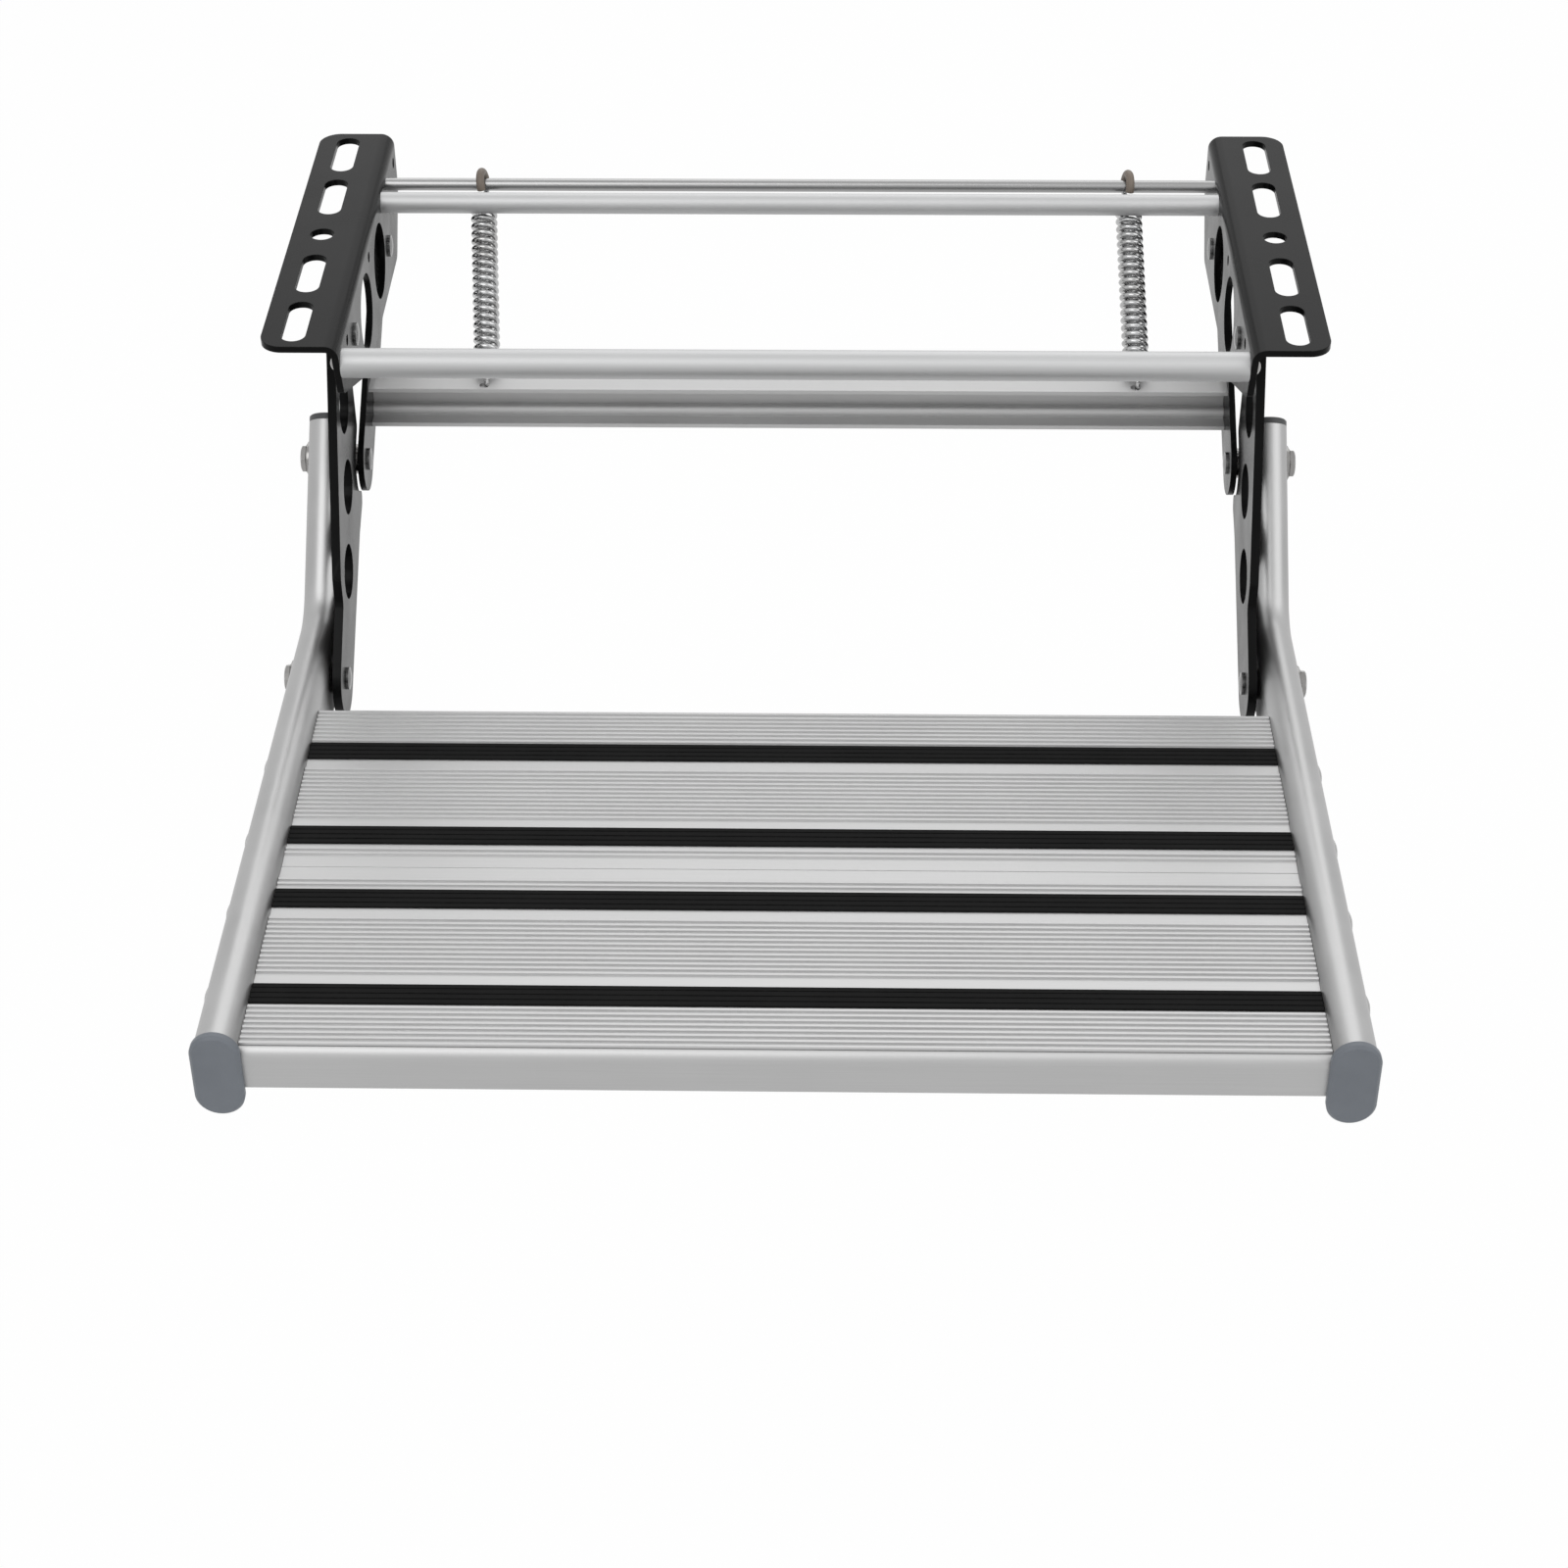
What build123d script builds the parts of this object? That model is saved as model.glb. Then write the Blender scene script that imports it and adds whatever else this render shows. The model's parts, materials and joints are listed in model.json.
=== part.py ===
from build123d import *
import os
from math import atan2, cos, hypot, radians, sin

os.makedirs("parts", exist_ok=True)

# Folding entry step, millimetres. X runs across the doorway, Y runs in under the
# vehicle, Z is up. Z = 0 is the top of the mounting flanges, and the origin lies midway
# between their two centre holes. Everything is modelled on the right and mirrored.

# Stack of plates from the middle outwards
web_inner_x = 200.0
sheet_t = 3.0
rear_arm_t = 2.8
front_arm_t = 4.0
arm_gap = 0.4
tube_gap = 1.9
tube_width = 17.5

# Brackets
bracket_length = 210.0
bracket_depth = 56.0
flange_width = 35.0
bend_r = 3.0
flange_corner_r = 10.0
web_front_depth = 27.0
web_front_setback = 6.0
web_front_slope_length = 68.0
web_rear_chamfer = 22.0
web_rear_drop = 28.0
web_corner_r = 6.0
mount_inset = 14.2
mount_hole_d = 11.0
mount_slot_length = 35.5
outer_slot_from_end = 22.7
slot_spacing = 44.5
window_d = 36.0
window_front_y = -20.5
window_rear_y = 29.5
window_z = -29.5
spare_hole_d = 5.0
spare_hole_z = -11.4
spare_front_from_end = 26.3
spare_middle_y = -0.8
spare_rear_from_end = 8.6

# Upper pivots, fixed in the brackets
front_top_y = -58.0
front_top_z = -20.0
rear_top_y = 60.0
rear_top_z = -37.5
pin_d = 10.0
pin_head_d = 13.0
pin_head_t = 2.0
outer_head_t = 1.3
front_pin_outer_d = 16.0
pivot_fit = 0.05
pin_head_bevel = 1.2
front_washer_margin = 3.0

# Cross bars between the brackets
front_bar_d = 13.2
front_bar_from_end = 8.1
front_bar_z = -12.6
rear_bar_d = 10.0
rear_bar_y = 50.5
rear_bar_z = -9.4
spring_rod_d = 6.0
spring_rod_y = 68.8
spring_rod_z = -8.9
bar_screw_d = 4.0
bar_screw_length = 18.0
bar_screw_head_d = 6.8
bar_screw_head_t = 2.2
bar_screw_bevel = 1.1
rod_end_t = 1.2
rod_end_bevel = 0.7
screw_fit = 0.1

# The tread is drawn in its own frame: the top of its rear edge at 0, 0, tilted a little
tread_y = -171.7
tread_z = -145.9
tread_tilt = 1.46

# Side tubes, in the tread's frame
tube_height = 38.0
tube_wall = 1.8
tube_centre_z = -12.0
tube_bend_y = 75.0
tube_bend_r = 40.0
tube_rise = 46.5
tube_rise_length = 100.4
front_pivot_back = 40.0
rear_pivot_from_top = 14.9
front_cap_t = 3.5
front_cap_rim = 1.1
top_cap_t = 3.0
front_plug_length = 14.0
top_plug_length = 8.0
plug_wall = 2.0
cap_chamfer = 1.2

# Tread planks, measured from the outer edge of each towards the joint between them
plank_width = 116.6
plank_height = 21.4
plank_wall = 1.8
plank_nose_r = 5.5
plank_toe_r = 2.0
cell_corner_r = 0.6
rib_pitch = 3.1
rib_height = 0.8
rib_base = 2.0
rib_top = 1.2
outer_ribs_from = 2.4
outer_rib_count = 8
middle_ribs_margin = 6.0
middle_ribs_clear = 5.0
inner_ribs_back = 13.6
inner_rib_count = 2
insert_width = 12.6
outer_insert_from = 27.4
inner_insert_back = 28.0
insert_depth = 2.0
insert_proud = 0.8
insert_fit = 0.1
insert_groove = 0.4
insert_groove_count = 3
joint_gap = 0.2
dovetail_lip = 0.5

# Plank screws and pivot bolts
port_r = 5.2
port_sink = 0.8
outer_port_inset = 1.5
inner_port_inset = 3.6
plank_screw_d = 5.0
plank_screw_grip = 16.0
plank_screw_head_d = 13.0
plank_screw_head_t = 2.6
plank_screw_bevel = 1.3
plank_screw_socket = 4.0
plank_screw_socket_depth = 1.6
bolt_d = 8.0
bolt_head_d = 14.0
bolt_head_t = 3.6
bolt_crown_d = 15.4
bolt_crown_bevel = 1.2
bolt_washer_d = 17.0
bolt_washer_t = 1.2
spacer_d = 14.0

# Front arm, outline set out from its pivots and from the rear arm's lower pivot
front_arm_top_r = 16.0
front_arm_end_r = 17.5
front_arm_top_lean = 9.8
front_arm_end_lean = 38.3
scallop_r = 17.0
scallop_lead = 3.0
front_arm_rear_edge = 3.0
lobe_drop = 18.5
lobe_back = 7.5
lobe_tip_r = 3.0
under_lobe_drop = 25.7
under_lobe_back = 24.4
recess_low_back = 9.5
recess_low_rise = 15.0
recess_in_forward = 10.9
recess_in_rise = 33.3
recess_top_forward = 11.4
recess_top_rise = 47.0
recess_r = 6.0
arm_hole_d = 25.5
arm_hole_offsets = ((-9.7, -31.8), (-20.7, -68.5), (-41.5, -101.4))

# Rear arm and the channel between the rear arms, turned down from the arms' line
rear_arm_top_r = 16.0
rear_arm_end_r = 15.0
channel_from_end = 31.4
channel_turn = 29.0
channel_depth = 13.5
channel_height = 21.5
channel_wall = 2.0
channel_port_r = 3.0
channel_port_sink = 1.5
channel_screw_d = 4.0
channel_screw_head_d = 7.6
channel_screw_length = 14.0

# Springs
spring_left_x = -148.5
spring_right_x = 160.0
spring_d = 11.5
wire_d = 2.0
coil_pitch = 3.9
coil_turn_count = 20.5
coil_step_count = 10
sleeve_d = 5.0
sleeve_fit = 0.05
rod_fit = 0.15
hook_back = 3.6
hook_lift = 1.0
hook_wrap = 40.0
hook_step_count = 16
hook_hole_d = 4.6
lower_hook_r = 4.2
lower_hook_reach = 25.0

# Allowances of the modelling: what a cut runs past a face, how deep two solids that become
# one are pushed together, and what a round end keeps short of a full half circle
cut_past = 1.0
join = 0.1
round_trim = 0.1
sheet_trim_r = 1.0
plank_edge_r = 0.3

# Values that follow from the sizes above
web_outer_x = web_inner_x + sheet_t
rear_arm_in = web_outer_x + arm_gap
rear_arm_out = rear_arm_in + rear_arm_t
front_arm_in = rear_arm_out + arm_gap
front_arm_out = front_arm_in + front_arm_t
tube_in = front_arm_out + tube_gap
tube_out = tube_in + tube_width
mount_x = web_inner_x + flange_width - mount_inset
half_length = bracket_length / 2
outer_slot_y = half_length - outer_slot_from_end
inner_slot_y = outer_slot_y - slot_spacing
spare_front_y = spare_front_from_end - half_length
spare_rear_y = half_length - spare_rear_from_end
front_bar_y = front_bar_from_end - half_length
tube_front_y = -2 * plank_width
rear_pivot_up_tube = tube_rise_length - rear_pivot_from_top
front_pivot_tread = (front_pivot_back, tube_centre_z)
port_z = port_sink - rib_height - insert_depth - plank_wall - port_r
inner_insert_from = plank_width - inner_insert_back
inner_ribs_from = plank_width - inner_ribs_back
middle_ribs_from = outer_insert_from + insert_width + middle_ribs_margin
middle_rib_count = int((inner_insert_from - middle_ribs_clear - middle_ribs_from) / rib_pitch)
outer_port_w = outer_insert_from + insert_width - outer_port_inset
inner_port_w = inner_insert_from + inner_port_inset

tread_frame = Location((0, tread_y, tread_z), (-tread_tilt, 0, 0))


def from_tread(y, z):
    """Side-view point of the tread's frame, given in the part's frame."""
    turn = radians(tread_tilt)
    return (
        tread_y + y * cos(turn) + z * sin(turn),
        tread_z - y * sin(turn) + z * cos(turn),
    )


rise = radians(tube_rise)
rear_pivot_tread = (
    tube_bend_y + rear_pivot_up_tube * cos(rise),
    tube_centre_z + rear_pivot_up_tube * sin(rise),
)
front_top = (front_top_y, front_top_z)
rear_top = (rear_top_y, rear_top_z)
front_low = from_tread(*front_pivot_tread)
rear_low = from_tread(*rear_pivot_tread)


def plate(outline, x_from, x_to):
    """Plate between two planes across X, from an outline drawn in side view."""
    return extrude(Plane.YZ.offset(x_from) * outline, x_to - x_from)


def disc(centre, diameter, x_from, x_to):
    """Round bar along X about a side-view point."""
    return plate(Pos(*centre) * Circle(diameter / 2), x_from, x_to)


def outline(points, radii):
    """Closed side-view outline with its own radius at each corner."""
    return make_face(FilletPolyline(*points, radius=radii, close=True))


def along(start, end, distance, side=0.0):
    """Point at a distance from start towards end, and to the left of that line."""
    length = hypot(end[0] - start[0], end[1] - start[1])
    u = ((end[0] - start[0]) / length, (end[1] - start[1]) / length)
    return (start[0] + u[0] * distance - u[1] * side, start[1] + u[1] * distance + u[0] * side)


def mirrored(shape):
    return mirror(shape, about=Plane.YZ)


def save(name, *solids):
    shape = solids[0] if len(solids) == 1 else Compound(children=list(solids))
    export_step(shape, f"parts/{name}.step")


def save_pair(name, right):
    save(f"{name}_right", right)
    save(f"{name}_left", mirrored(right))


def save_both(name, *rights):
    """Both sides of a fastener in one file, as separate solids."""
    solids = [solid for shape in rights for solid in (shape, mirrored(shape))]
    save(name, *solids)


def bracket():
    """Folded plate: a slotted flange on top and a shaped web below it."""
    outer_r = bend_r + sheet_t
    fold = Polyline(
        (web_inner_x, -bracket_depth),
        (web_inner_x, 0),
        (web_inner_x + flange_width, 0),
        (web_inner_x + flange_width, -sheet_t),
        (web_outer_x, -sheet_t),
        (web_outer_x, -bracket_depth),
        close=True,
    )
    section = make_face(fold)
    corners = section.vertices().sort_by_distance((web_inner_x, 0, 0))
    section = fillet(corners[0], outer_r)
    inside = section.vertices().sort_by_distance((web_outer_x, -sheet_t, 0))
    section = fillet(inside[0], bend_r)
    angle = extrude(Plane.XZ.offset(-half_length) * section, bracket_length)
    front_foot = -half_length + web_front_setback
    side = outline(
        [
            (-half_length, sheet_t),
            (-half_length, -2 * sheet_t),
            (front_foot, -web_front_depth),
            (front_foot + web_front_slope_length, -bracket_depth),
            (half_length - web_rear_chamfer, -bracket_depth),
            (half_length, -web_rear_drop),
            (half_length, sheet_t),
        ],
        [sheet_trim_r] * 2 + [web_corner_r] * 4 + [sheet_trim_r],
    )
    body = angle & plate(side, web_inner_x - cut_past, web_inner_x + flange_width + cut_past)
    tips = body.edges().filter_by(Axis.Z).group_by(Axis.X)[-1]
    body = fillet(tips, flange_corner_r)
    holes = [Pos(mount_x, 0) * Circle(mount_hole_d / 2)]
    for y in (-outer_slot_y, -inner_slot_y, inner_slot_y, outer_slot_y):
        holes.append(Pos(mount_x, y) * SlotOverall(mount_slot_length, mount_hole_d, rotation=90))
    for hole in holes:
        body -= extrude(Plane.XY.offset(cut_past) * hole, -sheet_t - 2 * cut_past)
    bores = [
        ((window_front_y, window_z), window_d),
        ((window_rear_y, window_z), window_d),
        ((spare_front_y, spare_hole_z), spare_hole_d),
        ((spare_middle_y, spare_hole_z), spare_hole_d),
        ((spare_rear_y, spare_hole_z), spare_hole_d),
        (front_top, pin_d),
        (rear_top, pin_d),
        ((front_bar_y, front_bar_z), bar_screw_d + 2 * screw_fit),
        ((rear_bar_y, rear_bar_z), bar_screw_d + 2 * screw_fit),
        ((spring_rod_y, spring_rod_z), spring_rod_d),
    ]
    for centre, diameter in bores:
        body -= disc(centre, diameter, web_inner_x - cut_past, web_outer_x + cut_past)
    return body


def cross_bar(y, z, diameter):
    """Round bar between the webs, drilled at both ends for its screws."""
    bar = disc((y, z), diameter, -web_inner_x, web_inner_x)
    depth = bar_screw_length - sheet_t + bar_screw_d / 4
    hole = disc((y, z), bar_screw_d + 2 * screw_fit, web_inner_x - depth, web_inner_x + cut_past)
    return bar - hole - mirrored(hole)


def bar_screw(y, z):
    """Low round-headed screw through the web into the end of a bar."""
    head = disc((y, z), bar_screw_head_d, web_outer_x, web_outer_x + bar_screw_head_t)
    head = chamfer(head.edges().group_by(Axis.X)[-1], bar_screw_bevel)
    return head + disc((y, z), bar_screw_d, web_outer_x - bar_screw_length, web_outer_x + join)


def spring_rod():
    """Rod for the upper spring hooks, through both webs and peened outside them."""
    reach = web_outer_x + rod_end_t
    rod = disc((spring_rod_y, spring_rod_z), spring_rod_d, -reach, reach)
    ends = rod.edges().group_by(Axis.X)
    return chamfer(ends[0] + ends[-1], rod_end_bevel)


def arm_pin(centre, arm_out, head_d):
    """Shouldered rivet through the web and an arm, with a head at each end."""
    inner = disc(centre, pin_head_d, web_inner_x - pin_head_t, web_inner_x)
    inner = chamfer(inner.edges().group_by(Axis.X)[0], pin_head_bevel)
    seat = arm_out + 2 * pivot_fit
    shank = disc(centre, pin_d, web_inner_x - join, seat + join)
    return inner + shank + disc(centre, head_d, seat, seat + outer_head_t)


def front_pin_washer():
    """Thick washer that holds the front arm off the web."""
    diameter = 2 * (front_arm_top_r - front_washer_margin)
    washer = disc(front_top, diameter, web_outer_x + pivot_fit, front_arm_in - pivot_fit)
    return washer - disc(front_top, pin_d + 2 * pivot_fit, web_outer_x, front_arm_in)


def front_arm():
    """Long arm: round ends, a scallop for the rear arm's pivot and three round holes."""
    lean = radians(front_arm_end_lean)
    tip = front_arm_end_r - round_trim
    tip_y = front_low[0] - tip * cos(lean)
    tip_z = front_low[1] - tip * sin(lean)
    side_y = front_arm_end_r * sin(lean)
    side_z = front_arm_end_r * cos(lean)
    top_z = front_top_z + front_arm_top_r
    top_r = front_arm_top_r - round_trim
    rear_y = rear_low[0] - front_arm_rear_edge
    points = [
        (front_top_y - front_arm_top_lean, top_z),
        (front_top_y + front_arm_top_r, top_z),
        (rear_y, rear_low[1] + scallop_r + scallop_lead),
        (rear_low[0] - scallop_r, rear_low[1] + scallop_r / 2),
        (rear_low[0] - scallop_r, rear_low[1] - scallop_r / 2),
        (rear_low[0] - lobe_back, rear_low[1] - lobe_drop + 2 * lobe_tip_r),
        (rear_low[0] - lobe_back - lobe_tip_r, rear_low[1] - lobe_drop),
        (rear_low[0] - under_lobe_back, rear_low[1] - under_lobe_drop),
        (tip_y + side_y, tip_z - side_z),
        (tip_y - side_y, tip_z + side_z),
        (front_low[0] - recess_low_back, front_low[1] + recess_low_rise),
        (front_low[0] + recess_in_forward, front_low[1] + recess_in_rise),
        (front_low[0] + recess_top_forward, front_low[1] + recess_top_rise),
    ]
    hollow = scallop_r / 2
    tip_r = lobe_tip_r
    radii = [top_r, top_r, tip_r, hollow, hollow, tip_r, tip_r, recess_r, tip, tip]
    side = outline(points, radii + [recess_r, recess_r, recess_r])
    for offset in arm_hole_offsets:
        centre = (front_top_y + offset[0], front_top_z + offset[1])
        side -= Pos(*centre) * Circle(arm_hole_d / 2)
    arm = plate(side, front_arm_in, front_arm_out)
    for centre, diameter in ((front_top, pin_d), (front_low, bolt_d)):
        hole_d = diameter + 2 * pivot_fit
        arm -= disc(centre, hole_d, front_arm_in - cut_past, front_arm_out + cut_past)
    return arm


def in_channel(back, up):
    """Side-view point of the channel, given from the middle of its section."""
    middle = along(rear_low, rear_top, channel_from_end)
    slope = atan2(rear_top[1] - rear_low[1], rear_top[0] - rear_low[0]) - radians(channel_turn)
    return along(middle, (middle[0] + cos(slope), middle[1] + sin(slope)), back, up)


def channel_points():
    """Side-view points of the two screw ports at the back corners of the channel."""
    inset = channel_wall + channel_port_r - channel_port_sink
    side = channel_height / 2 - inset
    return [in_channel(channel_depth / 2 - inset, up) for up in (side, -side)]


def rear_arm():
    """Short strap with round ends, and countersinks for the channel's screws."""
    ends = (Pos(*rear_top) * Circle(rear_arm_top_r)).edges()
    ends += (Pos(*rear_low) * Circle(rear_arm_end_r)).edges()
    arm = plate(make_hull(ends), rear_arm_in, rear_arm_out)
    for centre, diameter in ((rear_top, pin_d + 2 * pivot_fit), (rear_low, pin_d)):
        arm -= disc(centre, diameter, rear_arm_in - cut_past, rear_arm_out + cut_past)
    for centre in channel_points():
        arm -= channel_screw(centre, screw_fit)
    return arm


def channel_screw(centre, grow=0.0):
    """Countersunk screw, flush with the rear arm's outer face."""
    head_r = channel_screw_head_d / 2 + grow
    shank_r = channel_screw_d / 2 + grow
    profile = Polyline(
        (0, 0),
        (head_r, 0),
        (shank_r, shank_r - head_r),
        (shank_r, -channel_screw_length),
        (0, -channel_screw_length),
        close=True,
    )
    screw = revolve(Plane.XZ * make_face(profile), Axis.Z)
    outwards = Plane(origin=(rear_arm_out, *centre), x_dir=(0, 1, 0), z_dir=(1, 0, 0))
    return outwards * screw


def rear_arm_pin():
    """Riveted stud in the lower end of the rear arm, with its head on the inner side."""
    head = disc(rear_low, pin_head_d, rear_arm_in - pin_head_t, rear_arm_in)
    head = chamfer(head.edges().group_by(Axis.X)[0], pin_head_bevel)
    return head + disc(rear_low, pin_d, rear_arm_in - join, rear_arm_out)


def spring_channel():
    """Aluminium channel between the rear arms, open towards the tread."""
    half = channel_height / 2
    back = channel_depth / 2
    inner = half - channel_wall
    points = [
        (-back, half),
        (back, half),
        (back, -half),
        (-back, -half),
        (-back, -inner),
        (back - channel_wall, -inner),
        (back - channel_wall, inner),
        (-back, inner),
    ]
    section = make_face(Polyline(*[in_channel(*point) for point in points], close=True))
    for centre in channel_points():
        section += Pos(*centre) * Circle(channel_port_r)
    for centre in channel_points():
        section -= Pos(*centre) * Circle(channel_screw_d / 2 + screw_fit)
    channel = plate(section, -rear_arm_in, rear_arm_in)
    for x in (spring_left_x, spring_right_x):
        origin = (x, *in_channel(hook_back - back, half))
        flange = Plane(origin=origin, x_dir=(1, 0, 0), z_dir=(0, *channel_up))
        channel -= flange * Cylinder(hook_hole_d / 2, 3 * channel_wall)
    return channel


channel_zero = in_channel(0, 0)
channel_one_up = in_channel(0, 1)
channel_up = (channel_one_up[0] - channel_zero[0], channel_one_up[1] - channel_zero[1])
hook_centre = in_channel(
    hook_back + lower_hook_r - channel_depth / 2,
    channel_height / 2 - channel_wall / 2 + hook_lift,
)
rod_centre = (spring_rod_y, spring_rod_z)
hook_run = (hook_centre[0] - rod_centre[0], hook_centre[1] - rod_centre[1])
spring_length = hypot(*hook_run) + lower_hook_r
spring_dir = along((0, 0), hook_run, 1)
coil_r = (spring_d - wire_d) / 2
coil_length = coil_pitch * coil_turn_count
upper_hook_r = spring_rod_d / 2 + sleeve_d / 2 + rod_fit
coil_start = (spring_length - lower_hook_r + upper_hook_r - coil_length) / 2


def spring_plane(x):
    """Plane of a spring's hooks: first axis down the spring, second axis above it."""
    return Plane(origin=(x, *rod_centre), x_dir=(0, *spring_dir), z_dir=(-1, 0, 0))


def upper_hook_route():
    """Points of the upper hook, from ahead of the rod over its top and back to under it."""
    turn = (270 - hook_wrap) / hook_step_count
    angles = [radians(hook_wrap + i * turn) for i in range(hook_step_count + 1)]
    return [(upper_hook_r * cos(a), upper_hook_r * sin(a), 0) for a in angles]


def coil_route():
    """Points of the coil's turns, from below the first axis to above it."""
    points = []
    for i in range(round(coil_turn_count * coil_step_count) + 1):
        turn = i / coil_step_count
        angle = radians(360 * turn)
        points.append((coil_start + coil_pitch * turn, -coil_r * cos(angle), coil_r * sin(angle)))
    return points


def lower_hook_route():
    """Points of the lower hook, from above the first axis round its end to below it."""
    centre = spring_length - lower_hook_r
    steps = hook_step_count // 2
    turn = (90 + lower_hook_reach) / steps
    angles = [radians(90 - i * turn) for i in range(steps + 1)]
    return [(centre + lower_hook_r * cos(a), lower_hook_r * sin(a), 0) for a in angles]


def along_route(route, outer, inner=None):
    """Sweep of one many-sided section, or of the band between two, with mitred corners."""
    path = Polyline(*route)
    section = outer - inner if inner else outer
    start = Plane(origin=path @ 0, z_dir=path % 0)
    return sweep(start * section, path=path, transition=Transition.RIGHT)


def spring(x):
    """Tension spring with a round hook at each end, its wire in short flat-sided lengths."""
    route = upper_hook_route() + coil_route() + lower_hook_route()
    return spring_plane(x) * along_route(route, RegularPolygon(wire_d / 2, 6))


def hook_sleeve(x):
    """Plastic sleeve over the upper hook, where it bears on the rod."""
    bore = RegularPolygon(wire_d / 2 + sleeve_fit, 6)
    return spring_plane(x) * along_route(upper_hook_route(), RegularPolygon(sleeve_d / 2, 12), bore)


def tube_path():
    """Centre line of a side tube in its own side view: level, then bent upwards."""
    top = tube_point(tube_rise_length)
    return FilletPolyline(
        (tube_front_y, tube_centre_z), (tube_bend_y, tube_centre_z), top, radius=tube_bend_r
    )


def tube_point(up):
    """Point on the rising part of a tube's centre line, at a distance from the bend."""
    return (tube_bend_y + up * cos(rise), tube_centre_z + up * sin(rise))


def oval(height, width):
    return SlotOverall(height, width, rotation=90)


def tube_section(origin, direction):
    """Plane across a side tube, with X as its first axis."""
    middle = (tube_in + tube_out) / 2
    return Plane(origin=(middle, *origin), x_dir=(1, 0, 0), z_dir=(0, *direction))


def side_tube():
    """Oval tube, open at both ends and bored for the pivots and the plank screws."""
    path = Plane.YZ.offset((tube_in + tube_out) / 2) * tube_path()
    wall = oval(tube_height, tube_width) - oval(tube_height - 2 * tube_wall, tube_width - 2 * tube_wall)
    tube = sweep(tube_section((tube_front_y, tube_centre_z), (1, 0)) * wall, path=path)
    for centre in (front_pivot_tread, rear_pivot_tread):
        tube -= disc(centre, bolt_d, tube_in - cut_past, tube_out + cut_past)
    for centre in screw_points():
        tube -= disc(centre, plank_screw_d + 2 * screw_fit, tube_in - cut_past, tube_out + cut_past)
    return tread_frame * tube


def cap(origin, outward, height, width, thickness, chamfer_size, plug_length):
    """Moulded end cap: an oval face with a chamfered rim and a plug inside the tube."""
    across = tube_section(origin, outward)
    face = extrude(across * oval(height, width), thickness)
    front = face.faces().sort_by_distance(across.origin + across.z_dir * thickness)[0]
    face = chamfer(front.edges(), chamfer_size)
    inner = tube_wall + insert_fit
    plug = oval(tube_height - 2 * inner, tube_width - 2 * inner)
    inner += plug_wall
    plug -= oval(tube_height - 2 * inner, tube_width - 2 * inner)
    return tread_frame * (face + extrude(across * plug, -plug_length))


def front_cap():
    rim = 2 * front_cap_rim
    origin = (tube_front_y, tube_centre_z)
    face = (tube_height + rim, tube_width + rim, front_cap_t, cap_chamfer)
    return cap(origin, (-1, 0), *face, front_plug_length)


def top_cap():
    outward = (cos(rise), sin(rise))
    origin = tube_point(tube_rise_length)
    face = (tube_height, tube_width, top_cap_t, cap_chamfer / 2)
    return cap(origin, outward, *face, top_plug_length)


def screw_points():
    """Plank screws in side view, two into each plank."""
    rear = [(-w, port_z) for w in (outer_port_w, inner_port_w)]
    front = [(w - 2 * plank_width, port_z) for w in (outer_port_w, inner_port_w)]
    return rear + front


def ribs_at():
    """Middles of all the ribs of one plank, from its outer edge."""
    groups = (
        (outer_ribs_from, outer_rib_count),
        (middle_ribs_from, middle_rib_count),
        (inner_ribs_from, inner_rib_count),
    )
    return [first + (i + 0.5) * rib_pitch for first, count in groups for i in range(count)]


def plank_section():
    """Plank profile: ribbed skin with two dovetailed grooves, cells and screw ports."""
    width = plank_width - joint_gap / 2
    skin = -rib_height
    shell = outline(
        [(0, skin), (0, -plank_height), (width, -plank_height), (width, skin)],
        [plank_nose_r, plank_toe_r, plank_edge_r, plank_edge_r],
    )
    floor = skin - insert_depth
    outer_end = outer_insert_from + insert_width
    inner_end = inner_insert_from + insert_width
    cells = (
        (plank_wall, outer_insert_from, skin),
        (outer_insert_from + plank_wall, outer_end - plank_wall, floor),
        (outer_end, inner_insert_from, skin),
        (inner_insert_from + plank_wall, inner_end - plank_wall, floor),
        (inner_end, width - plank_wall, skin),
    )
    bottom = plank_wall - plank_height
    for left, right, roof in cells:
        top = roof - plank_wall
        nose = plank_nose_r - plank_wall if left == plank_wall else cell_corner_r
        corners = [(left, bottom), (left, top), (right, top), (right, bottom)]
        shell -= outline(corners, [cell_corner_r, nose, cell_corner_r, cell_corner_r])
    for w in (outer_port_w, inner_port_w):
        shell += Pos(w, port_z) * Circle(port_r)
        shell -= Pos(w, port_z) * Circle(plank_screw_d / 2 + screw_fit)
    for w in (outer_insert_from, inner_insert_from):
        shell -= make_face(Polyline(*insert_outline(w, 0.0, cut_past), close=True))
    half_base = rib_base / 2
    half_top = rib_top / 2
    for w in ribs_at():
        rib = Polyline(
            (w - half_base, skin - join),
            (w - half_top, 0),
            (w + half_top, 0),
            (w + half_base, skin - join),
            close=True,
        )
        shell += make_face(rib)
    return shell


def insert_outline(w, fit, above):
    """Dovetail of a groove or its insert, narrower at the mouth than at its foot."""
    skin = -rib_height
    floor = skin - insert_depth
    lip = dovetail_lip + fit
    return [
        (w + fit, floor + fit),
        (w + lip, skin + above),
        (w + insert_width - lip, skin + above),
        (w + insert_width - fit, floor + fit),
    ]


def plank_plane(front):
    """Section plane of a plank, with its first axis from the outer edge to the joint."""
    if front:
        return Plane(origin=(-tube_in, -2 * plank_width, 0), x_dir=(0, 1, 0), z_dir=(1, 0, 0))
    return Plane(origin=(tube_in, 0, 0), x_dir=(0, -1, 0), z_dir=(-1, 0, 0))


def plank(front):
    """Hollow tread plank between the side tubes."""
    return tread_frame * extrude(plank_plane(front) * plank_section(), 2 * tube_in)


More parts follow.
